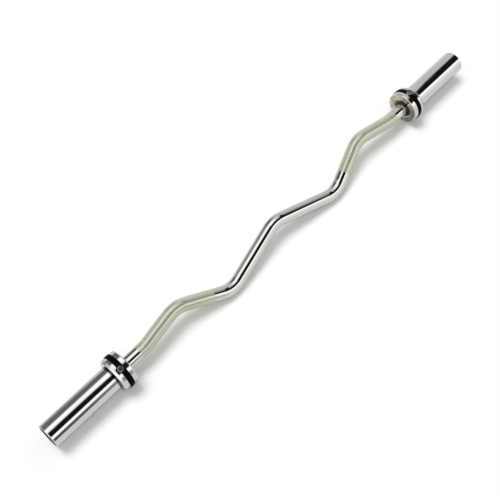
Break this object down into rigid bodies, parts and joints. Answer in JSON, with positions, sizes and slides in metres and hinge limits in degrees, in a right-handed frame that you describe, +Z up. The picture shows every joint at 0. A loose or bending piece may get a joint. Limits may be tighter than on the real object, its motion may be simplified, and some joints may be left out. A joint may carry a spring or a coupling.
{
  "type": "ez curl bar",
  "caption": "Cambered chrome curl bar with knurled grips and free-turning plate sleeves behind rubber-ringed collars, for curls and extensions.",
  "frame": {"origin": "on the floor, under the middle of the bar's axis, as the bar lies on its collar rings and two low bends", "axes": "+X along the sleeves' common axis towards the right end, +Z up, +Y towards the high bends"},
  "size_m": [1.194, 0.0747, 0.074],
  "materials": {
    "chrome_shaft": "bright chrome plate, satin and faintly yellow where it is knurled",
    "chrome_sleeve": "mirror chrome plate with fine handling scratches",
    "chrome_collar": "chrome plate over a turned surface",
    "black_rubber": "matt moulded rubber",
    "black_steel": "black oxide, worn at the edges",
    "bronze": "oiled sintered bronze",
    "steel": "turned, oiled",
    "spring_steel": "phosphated spring steel",
    "black_plastic": "fine moulded texture"
  },
  "bodies": {
    "bar": {"shaft": "chrome_shaft", "left_inner_washer": "steel", "left_outer_washer": "steel", "left_snap_ring": "spring_steel", "right_inner_washer": "steel", "right_outer_washer": "steel", "right_snap_ring": "spring_steel"},
    "left_end": {"left_sleeve": "chrome_sleeve", "left_collar": "chrome_collar", "left_collar_ring": "black_rubber", "left_set_screw": "black_steel", "left_inner_bushing": "bronze", "left_outer_bushing": "bronze", "left_end_cap": "black_plastic"},
    "right_end": {"right_sleeve": "chrome_sleeve", "right_collar": "chrome_collar", "right_collar_ring": "black_rubber", "right_set_screw": "black_steel", "right_inner_bushing": "bronze", "right_outer_bushing": "bronze", "right_end_cap": "black_plastic"}
  },
  "joints": [
    {"name": "left_sleeve_spin", "type": "hinge", "parent": "bar", "child": "left_end", "pos_m": [-0.5205, 0, 0.037], "axis": [1, 0, 0], "continuous": true},
    {"name": "right_sleeve_spin", "type": "hinge", "parent": "bar", "child": "right_end", "pos_m": [0.5205, 0, 0.037], "axis": [1, 0, 0], "continuous": true}
  ]
}
